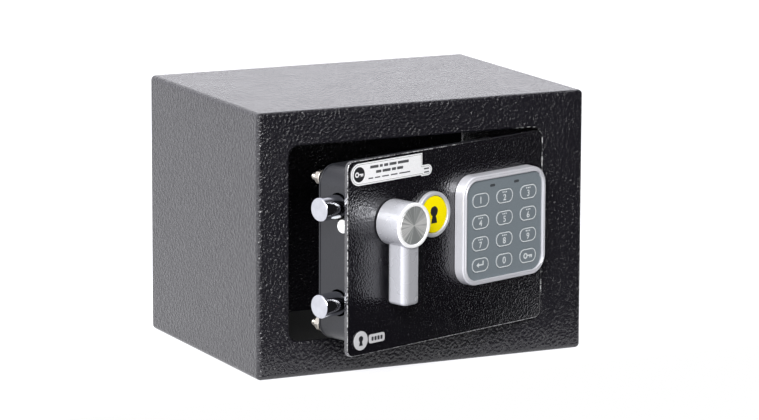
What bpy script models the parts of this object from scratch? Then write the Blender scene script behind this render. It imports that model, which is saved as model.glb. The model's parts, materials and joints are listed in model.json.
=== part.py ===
"""In-room safe of the compact class: a folded steel cabinet, 230 x 170 x 170 mm, and a hinged
door that carries the bolt work, the handle, the keypad, the batteries and a key lock.

Sizes are in millimetres, and MM turns them into metres. The origin is the centre of the
cabinet's underside, -Y is the front and +Z is up. Door pieces are placed in the door's own
frame: X runs from the plate's free edge to the hinge side, Y from its front face inwards and
Z up from its lower edge. The door stands ajar, with its bolts thrown.
"""
import math

import bmesh
import bpy
from mathutils import Vector
from mathutils.geometry import interpolate_bezier

MM = 0.001
GAP = 0.3                      # left between pieces that touch
CORNER_STEPS = 4               # flats round a quarter turn
SIDES = 24                     # flats round a turned piece

# Cabinet
CABINET_W, CABINET_D, CABINET_H = 230.0, 170.0, 170.0
SHEET = 2.0
CABINET_EDGE = 3.0
FRONT, REAR = -CABINET_D / 2, CABINET_D / 2
OPENING_LEFT, OPENING_RIGHT = -93.2, 84.6
OPENING_BOTTOM, OPENING_TOP = 22.9, 147.9
OPENING_CORNER = 7.0
ANCHOR_X, ANCHOR_Z = 60.0, 70.0
ANCHOR_RADIUS = 5.0
MAT_THICK = 2.0
MAT_HOLE_RADIUS = 8.0

# Hinge: the pins stand behind the cabinet's lip
HINGE_X, HINGE_DEPTH = 87.8, 5.0
DOOR_OPEN = math.radians(19.0)
PIN_RADIUS, PIN_HOLE_RADIUS = 1.9, 2.2
BRACKET_BASE, BRACKET_THICK = 17.0, 3.0
ARM_BASE, ARM_THICK = 22.0, 3.0
ARM_INNER, ARM_FRONT, ARM_REAR = 140.0, 9.3, 14.3
ARM_END_RADIUS = 2.6

# Door plate and the case of its bolt work
PLATE_LEFT, PLATE_BOTTOM = -92.2, 23.8
PLATE_W, PLATE_H, PLATE_T = 174.5, 122.6, 3.0
PLATE_CORNER = 5.0
CASE_LEFT, CASE_RIGHT, CASE_BOTTOM, CASE_TOP = 4.0, 166.2, 6.2, 116.4
CASE_DEPTH, CASE_CORNER, CASE_SHEET = 28.0, 12.0, 1.5
COVER_T = 1.5
PIVOT_X = HINGE_X - PLATE_LEFT

# Bolt work
BOLT_RADIUS, BOLT_HOLE_RADIUS = 7.5, 8.5
BOLT_TIP, BOLT_END, BOLT_DEPTH = -12.6, 30.0, 12.2
BUSH_Y, BUSH_Z = 8.0, 81.2
BOLT_HEIGHTS = {"lower": 32.5, "upper": 93.2}
BOLT_TRAVEL = 15.5
CARRIAGE_FRONT, CARRIAGE_T = 20.0, 2.0
POST_X, POST_RADIUS = 36.0, 2.5
POST_HEIGHTS = {"lower": 44.0, "upper": 62.0}
SOLENOID_X, SOLENOID_Y = 52.2, 11.5
SOLENOID_BOTTOM, SOLENOID_TOP = 42.2, 66.2

# Handle
HANDLE_X, HANDLE_Z = 38.0, 81.0
KNOB_RADIUS, KNOB_REACH = 14.3, 20.2
KNOB_RECESS_RADIUS, KNOB_RECESS = 11.9, 1.8
LEVER_WIDTH, LEVER_DROP = 14.4, 50.4
SPINDLE_RADIUS, SPINDLE_HOLE_RADIUS = 4.0, 6.3
CAM_PIN_THROW = 13.5
CAM_START = math.radians(-35.0)

# Key lock and its cover
LOCK_X, LOCK_Z = 73.0, 81.0
BARREL_RADIUS, BARREL_END = 8.0, 20.5
LOCK_COVER_RADIUS, LOCK_INSERT_RADIUS = 14.5, 11.65

# Keypad
KEYPAD_X, KEYPAD_Z = 132.6, 66.5
KEYPAD_W, KEYPAD_H, KEYPAD_REACH = 76.5, 70.5, 8.0
KEYPAD_CORNER, KEYPAD_WALL = 12.5, 2.0
PANEL_W, PANEL_H, PANEL_CORNER = 69.0, 64.0, 9.0
PANEL_FACE, PANEL_BACK = 6.8, 5.2
KEY_W, KEY_H, KEY_CORNER = 15.6, 9.5, 4.4
KEY_FACE, KEY_BACK, KEY_CLEARANCE = 7.6, 4.2, 0.35
BOARD_W, BOARD_H, BOARD_FACE, BOARD_BACK = 64.5, 59.0, 2.8, 1.2
KEY_COLUMNS = (-21.9, 0.0, 21.9)
KEY_ROWS = (19.2, 5.2, -8.7, -22.4)
KEY_NAMES = (("1", "2", "3"), ("4", "5", "6"), ("7", "8", "9"), ("enter", "0", "lock"))

# Batteries
TRAY_LEFT, TRAY_RIGHT, TRAY_BOTTOM, TRAY_TOP = 96.2, 160.2, 33.5, 95.5
TRAY_FRONT, TRAY_WALL = 11.4, 1.5
CELL_RADIUS, CELL_LENGTH, CELL_COUNT = 7.0, 49.0, 4

STUD_PLACES = ((9.0, 108.0), (9.0, 15.7), (161.2, 108.0), (161.2, 15.7))
STUD_RADIUS, STUD_HOLE_RADIUS, STUD_TIP = 2.2, 2.7, 39.6
WASHER_RADIUS, WASHER_T = 4.8, 0.8
NUT_RADIUS, NUT_T = 4.3, 4.0
RESET_X, RESET_Z = 150.0, 104.0
CABLE_HOLE_X, CABLE_HOLE_Z, CABLE_HOLE_RADIUS = 110.0, 60.0, 5.0
CABLE_RADIUS = 1.2

LOOKS = {                      # colour, roughness, metallic
    "black_powder": ((0.020, 0.021, 0.023), 0.45, 0.0),
    "black_case": ((0.024, 0.025, 0.028), 0.40, 0.0),
    "zinc": ((0.62, 0.62, 0.60), 0.35, 1.0),
    "chrome": ((0.78, 0.79, 0.80), 0.08, 1.0),
    "steel": ((0.45, 0.45, 0.46), 0.40, 1.0),
    "silver_paint": ((0.56, 0.57, 0.58), 0.32, 0.6),
    "spun_aluminium": ((0.72, 0.72, 0.72), 0.25, 1.0),
    "panel_grey": ((0.135, 0.150, 0.160), 0.50, 0.0),
    "key_grey": ((0.150, 0.165, 0.175), 0.50, 0.0),
    "yellow": ((0.90, 0.58, 0.02), 0.30, 0.0),
    "label_silver": ((0.62, 0.63, 0.64), 0.40, 0.2),
    "white_nylon": ((0.78, 0.78, 0.75), 0.40, 0.0),
    "black_plastic": ((0.02, 0.02, 0.02), 0.50, 0.0),
    "copper_coil": ((0.60, 0.22, 0.08), 0.35, 0.8),
    "board_green": ((0.02, 0.14, 0.05), 0.50, 0.0),
    "cell_jacket": ((0.03, 0.05, 0.12), 0.35, 0.2),
    "brass": ((0.70, 0.48, 0.18), 0.30, 1.0),
    "mat_felt": ((0.030, 0.030, 0.032), 0.95, 0.0),
    "red_button": ((0.55, 0.02, 0.02), 0.40, 0.0),
}


# ---------------------------------------------------------------- scene and helpers

def clear_scene():
    for obj in list(bpy.data.objects):
        bpy.data.objects.remove(obj, do_unlink=True)


def new_collection(name):
    collection = bpy.data.collections.new(name)
    bpy.context.scene.collection.children.link(collection)
    return collection


def give_material(obj, look):
    colour, roughness, metallic = LOOKS[look]
    mat = bpy.data.materials.new(f"{obj.name}_{look}")
    mat.use_nodes = True
    shader = mat.node_tree.nodes["Principled BSDF"]
    shader.inputs["Base Color"].default_value = (*colour, 1.0)
    shader.inputs["Roughness"].default_value = roughness
    shader.inputs["Metallic"].default_value = metallic
    obj.data.materials.append(mat)


def place(name, mesh, parent, centre, look):
    """Put a mesh in the scene: a part when it has a look, and a cutter when it has none."""
    obj = bpy.data.objects.new(name, mesh)
    (PARTS if look else CUTTERS).objects.link(obj)
    obj.parent = parent
    obj.location = Vector(centre) * MM
    if look:
        give_material(obj, look)
    else:
        obj.hide_render = True
        obj.display_type = "WIRE"
    return obj


def mesh_of(name, bm, smooth=False):
    mesh = bpy.data.meshes.new(name)
    bm.to_mesh(mesh)
    bm.free()
    if smooth:
        mesh.shade_smooth()
        mesh.set_sharp_from_angle(angle=math.radians(35))
    return mesh


def empty(name, parent, location, turn=0.0):
    obj = bpy.data.objects.new(name, None)
    CUTTERS.objects.link(obj)
    obj.parent = parent
    obj.location = Vector(location) * MM
    obj.rotation_euler.z = turn
    obj.empty_display_size = 0.01
    return obj


def round_edges(obj, width, segments=1):
    bevel = obj.modifiers.new("rounded edges", "BEVEL")
    bevel.width = width * MM
    bevel.segments = segments
    bevel.limit_method = "ANGLE"
    bevel.angle_limit = math.radians(40)


def boolean(obj, tool, operation="DIFFERENCE"):
    modifier = obj.modifiers.new(operation.lower(), "BOOLEAN")
    modifier.operation = operation
    modifier.object = tool
    modifier.solver = "EXACT"


def block(name, parent, low, high, look=None, corner=0.0, axis=1, steps=CORNER_STEPS):
    """A box from its low to its high corner, with its edges along one axis rounded."""
    low, high = Vector(low), Vector(high)
    bm = bmesh.new()
    bmesh.ops.create_cube(bm, size=1.0)
    bmesh.ops.scale(bm, vec=(high - low) * MM, verts=bm.verts)
    if corner:
        half = (high - low)[axis] * MM / 2
        edges = [e for e in bm.edges if abs(e.verts[0].co[axis] - e.verts[1].co[axis]) > half]
        bmesh.ops.bevel(bm, geom=edges, offset=corner * MM, segments=steps,
                        profile=0.5, affect="EDGES")
    return place(name, mesh_of(name, bm), parent, (low + high) / 2, look)


def rod(name, parent, start, end, radius, look=None, sides=SIDES):
    """A cylinder between two points."""
    start, end = Vector(start), Vector(end)
    bm = bmesh.new()
    bmesh.ops.create_cone(bm, cap_ends=True, segments=sides, radius1=radius * MM,
                          radius2=radius * MM, depth=(end - start).length * MM)
    obj = place(name, mesh_of(name, bm, smooth=True), parent, (start + end) / 2, look)
    obj.rotation_euler = (end - start).to_track_quat("Z", "Y").to_euler()
    return obj


def turned(name, parent, centre, axis, profile, look, closed=False, sides=SIDES):
    """A profile of (radius, distance along the axis) turned about the axis.

    An open profile runs from its far end on the axis, down its outer side, to its near end.
    A closed one goes down its outer side and back up its bore.
    """
    mesh = bpy.data.meshes.new(name)
    count = len(profile)
    edges = [(i, (i + 1) % count) for i in range(count if closed else count - 1)]
    mesh.from_pydata([(r * MM, 0.0, h * MM) for r, h in profile], edges, [])
    obj = place(name, mesh, parent, centre, look)
    obj.rotation_euler = Vector(axis).to_track_quat("Z", "Y").to_euler()
    screw = obj.modifiers.new("turned", "SCREW")
    screw.steps = screw.render_steps = sides
    screw.use_merge_vertices = True
    screw.merge_threshold = 0.00001
    return obj


def outline(name, parent, centre, points, thickness, look, flat_on_z=False):
    """A flat outline with a thickness, as a mesh, standing in X-Z or lying in X-Y."""
    curve = bpy.data.curves.new(name, "CURVE")
    curve.dimensions = "2D"
    curve.fill_mode = "BOTH"
    curve.extrude = thickness * MM / 2
    spline = curve.splines.new("POLY")
    spline.points.add(len(points) - 1)
    for point, (x, y) in zip(spline.points, points):
        point.co = (x * MM, y * MM, 0.0, 1.0)
    spline.use_cyclic_u = True
    source = bpy.data.objects.new(name + "_outline", curve)
    CUTTERS.objects.link(source)
    mesh = mesh_from_curve(source)
    obj = place(name, mesh, parent, centre, look)
    if not flat_on_z:
        obj.rotation_euler.x = math.pi / 2
    return obj


def mesh_from_curve(source):
    """The mesh of a curve object, with its caps welded on; the curve object is removed."""
    bpy.context.view_layer.update()
    evaluated = source.evaluated_get(bpy.context.evaluated_depsgraph_get())
    mesh = bpy.data.meshes.new_from_object(evaluated)
    bpy.data.objects.remove(source, do_unlink=True)
    bm = bmesh.new()
    bm.from_mesh(mesh)
    bmesh.ops.remove_doubles(bm, verts=bm.verts, dist=0.00001)
    bmesh.ops.recalc_face_normals(bm, faces=bm.faces)
    bm.to_mesh(mesh)
    bm.free()
    mesh.materials.clear()
    return mesh


def arc(centre, radius, start, end, steps):
    """Points round an arc, from one angle to another in degrees."""
    turns = [math.radians(start + (end - start) * i / steps) for i in range(steps + 1)]
    return [(centre[0] + radius * math.cos(t), centre[1] + radius * math.sin(t)) for t in turns]


def mirrored(height, thickness):
    """The base of a piece that repeats at the same distance from the cabinet's other end."""
    return CABINET_H - height - thickness


# ---------------------------------------------------------------- cabinet

def make_cabinet():
    half = CABINET_W / 2
    shell = block("cabinet_shell", None, (-half, FRONT, 0.0), (half, REAR + 10.0, CABINET_H),
                  "black_powder")
    round_edges(shell, CABINET_EDGE, 2)
    room = block("cut_room", None, (-half + SHEET, FRONT + SHEET, SHEET),
                 (half - SHEET, REAR + 20.0, CABINET_H - SHEET))
    trim = block("cut_rear", None, (-half - 5.0, REAR, -5.0),
                 (half + 5.0, REAR + 15.0, CABINET_H + 5.0))
    opening = block("cut_opening", None, (OPENING_LEFT, FRONT - 5.0, OPENING_BOTTOM),
                    (OPENING_RIGHT, FRONT + 8.0, OPENING_TOP), corner=OPENING_CORNER)
    for tool in (room, trim, opening):
        boolean(shell, tool)

    panel = block("back_panel", None, (-half + SHEET + GAP, REAR - SHEET, SHEET + GAP),
                  (half - SHEET - GAP, REAR, CABINET_H - SHEET - GAP), "black_powder")
    mat = block("floor_mat", None, (-105.0, FRONT + 8.0, SHEET + GAP),
                (105.0, REAR - 8.0, SHEET + GAP + MAT_THICK), "mat_felt", corner=6.0, axis=2)
    for i, x in enumerate((-ANCHOR_X, ANCHOR_X)):
        boolean(shell, rod(f"cut_base_anchor_{i}", None, (x, 0.0, -2.0), (x, 0.0, 6.0),
                           ANCHOR_RADIUS))
        boolean(mat, rod(f"cut_mat_{i}", None, (x, 0.0, 0.0), (x, 0.0, 8.0), MAT_HOLE_RADIUS))
        boolean(panel, rod(f"cut_back_anchor_{i}", None, (x, REAR - 6.0, ANCHOR_Z),
                           (x, REAR + 3.0, ANCHOR_Z), ANCHOR_RADIUS))

    pivot_y = FRONT + HINGE_DEPTH
    bases = {"lower": BRACKET_BASE, "upper": mirrored(BRACKET_BASE, BRACKET_THICK)}
    for side, base in bases.items():
        bracket = block(f"hinge_bracket_{side}", None, (80.0, FRONT + SHEET + GAP, base),
                        (half - SHEET - GAP, FRONT + 20.0, base + BRACKET_THICK), "steel")
        boolean(bracket, rod(f"cut_bracket_{side}", None, (HINGE_X, pivot_y, base - 2.0),
                             (HINGE_X, pivot_y, base + BRACKET_THICK + 2.0),
                             PIN_HOLE_RADIUS))


def door_empties():
    """The hinge axis, turned to the open angle, and the door's own frame on it."""
    hinge = empty("door_axis", None, (HINGE_X, FRONT + HINGE_DEPTH, 0.0), DOOR_OPEN)
    return empty("door_frame", hinge, (-PIVOT_X, -HINGE_DEPTH, PLATE_BOTTOM))


# ---------------------------------------------------------------- door shell and hinges

def make_door_shell(door):
    plate = block("door_plate", door, (0.0, 0.0, 0.0), (PLATE_W, PLATE_T, PLATE_H),
                  "black_powder", corner=PLATE_CORNER)
    holes = (("handle", HANDLE_X, HANDLE_Z, SPINDLE_HOLE_RADIUS),
             ("lock", LOCK_X, LOCK_Z, BARREL_RADIUS + 0.4),
             ("cable", CABLE_HOLE_X, CABLE_HOLE_Z, CABLE_HOLE_RADIUS))
    for name, x, z, radius in holes:
        boolean(plate, rod(f"cut_plate_{name}", door, (x, -4.0, z), (x, 8.0, z), radius))

    case = block("bolt_case", door, (CASE_LEFT, PLATE_T + GAP, CASE_BOTTOM),
                 (CASE_RIGHT, CASE_DEPTH, CASE_TOP), "black_case", corner=CASE_CORNER)
    inside = block("cut_case", door,
                   (CASE_LEFT + CASE_SHEET, PLATE_T - 1.0, CASE_BOTTOM + CASE_SHEET),
                   (CASE_RIGHT - CASE_SHEET, CASE_DEPTH + 2.0, CASE_TOP - CASE_SHEET),
                   corner=CASE_CORNER - CASE_SHEET)
    boolean(case, inside)
    for side, z in BOLT_HEIGHTS.items():
        boolean(case, rod(f"cut_bolt_{side}", door, (0.0, BOLT_DEPTH, z), (10.0, BOLT_DEPTH, z),
                          BOLT_HOLE_RADIUS))
    boolean(case, rod("cut_bush", door, (0.0, BUSH_Y, BUSH_Z), (10.0, BUSH_Y, BUSH_Z), 3.3))
    turned("guide_bush", door, (CASE_LEFT, BUSH_Y, BUSH_Z), (-1.0, 0.0, 0.0),
           [(0.0, 1.6), (3.9, 1.6), (4.7, 0.9), (4.7, GAP), (3.0, GAP), (3.0, -3.0),
            (0.0, -3.0)], "white_nylon")
    make_rear_cover(door)
    make_hinge_arms(door, case)


def make_rear_cover(door):
    back = CASE_DEPTH + GAP
    cover = block("rear_cover", door, (CASE_LEFT, back, CASE_BOTTOM),
                  (CASE_RIGHT, back + COVER_T, CASE_TOP), "black_case", corner=CASE_CORNER)
    window = block("cut_battery_window", door, (97.2, back - 3.0, 35.0), (159.2, back + 5.0, 94.0),
                   corner=1.8)
    boolean(cover, window)
    boolean(cover, rod("cut_reset", door, (RESET_X, back - 3.0, RESET_Z),
                       (RESET_X, back + 5.0, RESET_Z), 3.8))
    for i, (x, z) in enumerate(STUD_PLACES, 1):
        boolean(cover, rod(f"cut_stud_{i}", door, (x, back - 3.0, z), (x, back + 5.0, z),
                           STUD_HOLE_RADIUS))
        make_cover_stud(f"cover_stud_{i}", door, x, z, back + COVER_T + GAP)


def make_cover_stud(name, door, x, z, base):
    """A stud from the plate through the rear cover, with its washer and hexagon nut run home."""
    washer = base + WASHER_T
    stud = turned(name, door, (x, 0.0, z), (0.0, 1.0, 0.0),
                  [(0.0, STUD_TIP), (STUD_RADIUS - 0.5, STUD_TIP), (STUD_RADIUS, STUD_TIP - 0.5),
                   (STUD_RADIUS, washer), (WASHER_RADIUS, washer), (WASHER_RADIUS, base),
                   (STUD_RADIUS, base), (STUD_RADIUS, PLATE_T + GAP), (0.0, PLATE_T + GAP)],
                  "zinc")
    nut = rod(f"join_{name}", door, (x, washer - 0.3, z), (x, washer + NUT_T, z), NUT_RADIUS,
              sides=6)
    boolean(stud, nut, "UNION")


def make_hinge_arms(door, case):
    """Each arm is a flat gooseneck with a pin: it goes round behind the cabinet's lip."""
    end = arc((PIVOT_X, HINGE_DEPTH), ARM_END_RADIUS, 180.0, 360.0, 10)
    corner = arc((PIVOT_X - 1.4, ARM_REAR - 4.0), 4.0, 0.0, 90.0, 5)
    foot = [(ARM_INNER, ARM_REAR), (ARM_INNER, PLATE_T + GAP), (ARM_INNER + 10.0, PLATE_T + GAP),
            (ARM_INNER + 10.0, ARM_FRONT), (PIVOT_X - ARM_END_RADIUS, ARM_FRONT)]
    low_bracket = BRACKET_BASE - PLATE_BOTTOM
    high_bracket = mirrored(BRACKET_BASE, 0.0) - PLATE_BOTTOM
    high_base = mirrored(ARM_BASE + PLATE_BOTTOM, ARM_THICK) - PLATE_BOTTOM
    arms = {"lower": (ARM_BASE, low_bracket + GAP, ARM_BASE + ARM_THICK),
            "upper": (high_base, high_base, high_bracket - GAP)}
    for side, (base, pin_low, pin_high) in arms.items():
        arm = outline(f"hinge_arm_{side}", door, (0.0, 0.0, base + ARM_THICK / 2),
                      end + corner + foot, ARM_THICK, "steel", flat_on_z=True)
        pin = rod(f"join_pin_{side}", door, (PIVOT_X, HINGE_DEPTH, pin_low),
                  (PIVOT_X, HINGE_DEPTH, pin_high), PIN_RADIUS)
        boolean(arm, pin, "UNION")
        slot = block(f"cut_slot_{side}", door, (CASE_RIGHT - 8.0, ARM_FRONT - GAP, base - GAP),
                     (CASE_RIGHT + 8.0, ARM_REAR + GAP, base + ARM_THICK + GAP))
        boolean(case, slot)


# ---------------------------------------------------------------- bolt work and solenoid

def make_bolts(door):
    bolts = empty("bolt_axis", door, (BOLT_TIP, BOLT_DEPTH, HANDLE_Z))
    low_end = Vector((BOLT_TIP, BOLT_DEPTH, HANDLE_Z))
    for side, z in BOLT_HEIGHTS.items():
        bolt = rod(f"bolt_{side}", bolts, (0.0, 0.0, z - HANDLE_Z),
                   (BOLT_END - BOLT_TIP, 0.0, z - HANDLE_Z), BOLT_RADIUS, "chrome")
        round_edges(bolt, 1.1)

    back = CARRIAGE_FRONT + CARRIAGE_T
    carriage = block("bolt_carriage", bolts, Vector((14.2, CARRIAGE_FRONT, 24.2)) - low_end,
                     Vector((47.2, back, 101.2)) - low_end, "zinc", corner=3.0)
    tab = block("join_tab", bolts, Vector((42.7, 12.0, 69.2)) - low_end,
                Vector((48.5, CARRIAGE_FRONT + 1.0, 74.2)) - low_end)
    boolean(carriage, tab, "UNION")
    slots = [("spindle", HANDLE_X, HANDLE_Z, SPINDLE_RADIUS + 0.6)]
    slots += [(side, POST_X, z, POST_RADIUS + 0.5) for side, z in POST_HEIGHTS.items()]
    for name, x, z, half in slots:
        cutter = block(f"cut_slot_{name}", bolts,
                       Vector((x - BOLT_TRAVEL - half, back - 4.0, z - half)) - low_end,
                       Vector((x + half, back + 2.0, z + half)) - low_end, corner=half * 0.95)
        boolean(carriage, cutter)
    pin_x = HANDLE_X + CAM_PIN_THROW * math.sin(CAM_START)
    cutter = block("cut_slot_cam", bolts, Vector((pin_x - 2.6, back - 4.0, 89.2)) - low_end,
                   Vector((pin_x + 2.6, back + 2.0, 98.0)) - low_end, corner=2.4)
    boolean(carriage, cutter)
    for side, z in POST_HEIGHTS.items():
        turned(f"guide_post_{side}", door, (POST_X, 0.0, z), (0.0, 1.0, 0.0),
               [(0.0, back + 1.8), (3.6, back + 1.8), (3.6, back + GAP),
                (POST_RADIUS, back + GAP), (POST_RADIUS, PLATE_T + GAP), (0.0, PLATE_T + GAP)],
               "steel")


def make_solenoid(door):
    x, y = SOLENOID_X, SOLENOID_Y
    bottom, top = SOLENOID_BOTTOM, SOLENOID_TOP
    frame = block("solenoid_frame", door, (x - 9.7, y - 7.5, bottom), (x + 9.7, y + 7.5, top),
                  "zinc")
    boolean(frame, block("cut_frame", door, (x - 8.2, y - 9.0, bottom + 1.5),
                         (x + 8.2, y + 9.0, top - 1.5)))
    boolean(frame, rod("cut_plunger_hole", door, (x, y, top - 5.0), (x, y, top + 5.0), 2.8))
    coil_low, coil_high = bottom + 1.5 + GAP, top - 1.5 - GAP
    turned("solenoid_coil", door, (x, y, 0.0), (0.0, 0.0, 1.0),
           [(7.2, coil_high), (7.2, coil_high - 1.2), (6.6, coil_high - 1.2),
            (6.6, coil_low + 1.2), (7.2, coil_low + 1.2), (7.2, coil_low), (2.8, coil_low),
            (2.8, coil_high)], "copper_coil", closed=True, sides=20)
    plunger_axis = empty("plunger_axis", door, (x, y, top))
    rod("plunger", plunger_axis, (0.0, 0.0, -18.0), (0.0, 0.0, 2.3), 2.4, "steel")


# ---------------------------------------------------------------- handle

def make_handle(door):
    handle = empty("handle_axis", door, (HANDLE_X, 0.0, HANDLE_Z))
    knob = rod("knob", handle, (0.0, -0.6, 0.0), (0.0, -KNOB_REACH, 0.0), KNOB_RADIUS,
               "silver_paint", sides=36)
    round_edges(knob, 0.8)
    half = LEVER_WIDTH / 2
    lever = block("join_lever", handle, (-half, -KNOB_REACH + 1.3, -LEVER_DROP),
                  (half, -2.6, 0.0))
    round_edges(lever, 2.4, 2)
    boolean(knob, lever, "UNION")
    floor = KNOB_REACH - KNOB_RECESS
    boolean(knob, rod("cut_recess", handle, (0.0, -floor, 0.0), (0.0, -KNOB_REACH - 3.0, 0.0),
                      KNOB_RECESS_RADIUS, sides=36))
    spindle_end = floor - 2.4
    boolean(knob, rod("cut_knob_bore", handle, (0.0, 3.0, 0.0), (0.0, -spindle_end - GAP, 0.0),
                      SPINDLE_RADIUS + GAP))
    cap = KNOB_RECESS_RADIUS - 0.35
    turned("knob_cap", handle, (0.0, 0.0, 0.0), (0.0, -1.0, 0.0),
           [(0.0, KNOB_REACH - 0.3), (cap - 0.45, KNOB_REACH - 0.3), (cap, KNOB_REACH - 0.7),
            (cap, KNOB_REACH - 1.5), (0.0, KNOB_REACH - 1.5)], "spun_aluminium", sides=36)
    rod("spindle", handle, (0.0, -spindle_end, 0.0), (0.0, 26.4, 0.0), SPINDLE_RADIUS, "steel")
    turned("spindle_bush", door, (HANDLE_X, 0.0, HANDLE_Z), (0.0, 1.0, 0.0),
           [(8.5, PLATE_T + GAP + 1.5), (8.5, PLATE_T + GAP), (6.0, PLATE_T + GAP),
            (6.0, -GAP), (SPINDLE_RADIUS + GAP, -GAP),
            (SPINDLE_RADIUS + GAP, PLATE_T + GAP + 1.5)], "white_nylon", closed=True)
    make_drive_cam(handle)


def make_drive_cam(handle):
    """The arm on the spindle's end, whose pin pushes the bolt carriage along."""
    front = CARRIAGE_FRONT + CARRIAGE_T + 0.6
    arm = block("drive_cam", handle, (-7.0, front, -9.0), (7.0, front + 2.0, 20.5), "zinc",
                corner=6.8)
    pin = rod("join_cam_pin", handle, (0.0, front - 2.4, CAM_PIN_THROW),
              (0.0, front + 1.0, CAM_PIN_THROW), 2.0)
    bore = rod("cut_cam_bore", handle, (0.0, front - 3.0, 0.0), (0.0, front + 5.0, 0.0),
               SPINDLE_RADIUS + GAP)
    boolean(arm, pin, "UNION")
    boolean(arm, bore)
    start = empty("cam_start", handle, (0.0, 0.0, 0.0))
    start.rotation_euler.y = CAM_START
    for obj in (arm, pin, bore):
        obj.parent = start


# ---------------------------------------------------------------- key lock

def make_lock(door):
    x, z = LOCK_X, LOCK_Z
    turned("lock_housing", door, (x, 0.0, z), (0.0, 1.0, 0.0),
           [(BARREL_RADIUS, BARREL_END), (BARREL_RADIUS, -GAP), (9.8, -GAP), (9.8, -1.5),
            (5.3, -1.5), (5.3, BARREL_END)], "zinc", closed=True)
    nut = rod("lock_nut", door, (x, PLATE_T + GAP, z), (x, PLATE_T + GAP + 3.2, z), 12.0,
              "zinc", sides=6)
    boolean(nut, rod("cut_nut", door, (x, 0.0, z), (x, 12.0, z), BARREL_RADIUS + GAP))
    lock = empty("lock_axis", door, (x, 0.0, z))
    plug = rod("lock_plug", lock, (0.0, -1.3, 0.0), (0.0, BARREL_END + 1.0, 0.0), 5.0, "brass")
    boolean(plug, block("cut_keyway", lock, (-0.6, -5.0, -3.4), (0.6, 12.0, 3.4)))
    block("lock_cam", lock, (-4.5, BARREL_END + 1.3, -13.0), (4.5, BARREL_END + 2.8, 5.5),
          "zinc", corner=4.3)

    cover = empty("lock_cover_axis", door, (x, 0.0, z))
    inner = LOCK_INSERT_RADIUS + GAP
    turned("cover_ring", cover, (0.0, 0.0, 0.0), (0.0, -1.0, 0.0),
           [(inner + 0.6, 3.2), (LOCK_COVER_RADIUS - 0.7, 3.2), (LOCK_COVER_RADIUS, 2.4),
            (LOCK_COVER_RADIUS, GAP), (inner, GAP), (inner, 2.9)], "silver_paint",
           closed=True, sides=36)
    turned("cover_insert", cover, (0.0, 0.0, 0.0), (0.0, -1.0, 0.0),
           [(0.0, 2.8), (LOCK_INSERT_RADIUS, 2.6), (LOCK_INSERT_RADIUS, 1.8), (0.0, 1.8)],
           "yellow", sides=36)


# ---------------------------------------------------------------- keypad

def make_keypad(door):
    centre = Vector((KEYPAD_X, 0.0, KEYPAD_Z))
    half = Vector((KEYPAD_W / 2, 0.0, KEYPAD_H / 2))
    bezel = block("keypad_bezel", door, centre - half + Vector((0.0, -KEYPAD_REACH, 0.0)),
                  centre + half + Vector((0.0, -GAP, 0.0)), "silver_paint",
                  corner=KEYPAD_CORNER)
    round_edges(bezel, 1.2)
    wall = Vector((KEYPAD_WALL, 0.0, KEYPAD_WALL))
    boolean(bezel, block("cut_bezel_back", door,
                         centre - half + wall + Vector((0.0, -PANEL_BACK - 0.2, 0.0)),
                         centre + half - wall + Vector((0.0, 2.0, 0.0)),
                         corner=KEYPAD_CORNER - KEYPAD_WALL))
    pane = Vector((PANEL_W / 2, 0.0, PANEL_H / 2))
    clear = Vector((GAP, 0.0, GAP))
    boolean(bezel, block("cut_bezel_window", door,
                         centre - pane - clear + Vector((0.0, -KEYPAD_REACH - 2.0, 0.0)),
                         centre + pane + clear + Vector((0.0, -2.0, 0.0)),
                         corner=PANEL_CORNER + GAP))
    panel = block("keypad_panel", door, centre - pane + Vector((0.0, -PANEL_FACE, 0.0)),
                  centre + pane + Vector((0.0, -PANEL_BACK, 0.0)), "panel_grey",
                  corner=PANEL_CORNER)
    for names, z in zip(KEY_NAMES, KEY_ROWS):
        for name, x in zip(names, KEY_COLUMNS):
            make_key(door, panel, name, centre + Vector((x, 0.0, z)))
    board = Vector((BOARD_W / 2, 0.0, BOARD_H / 2))
    block("keypad_board", door, centre - board + Vector((0.0, -BOARD_FACE, 0.0)),
          centre + board + Vector((0.0, -BOARD_BACK, 0.0)), "board_green")
    make_keypad_cable(door)


def make_key(door, panel, name, centre):
    axis = empty(f"key_axis_{name}", door, centre)
    block(f"key_{name}", axis, (-KEY_W / 2, -KEY_FACE, -KEY_H / 2),
          (KEY_W / 2, -KEY_BACK, KEY_H / 2), "key_grey", corner=KEY_CORNER, steps=3)
    clear = KEY_CLEARANCE
    hole = block(f"cut_key_{name}", door,
                 centre + Vector((-KEY_W / 2 - clear, -9.0, -KEY_H / 2 - clear)),
                 centre + Vector((KEY_W / 2 + clear, -2.0, KEY_H / 2 + clear)),
                 corner=KEY_CORNER + clear, steps=3)
    boolean(panel, hole)


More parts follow.
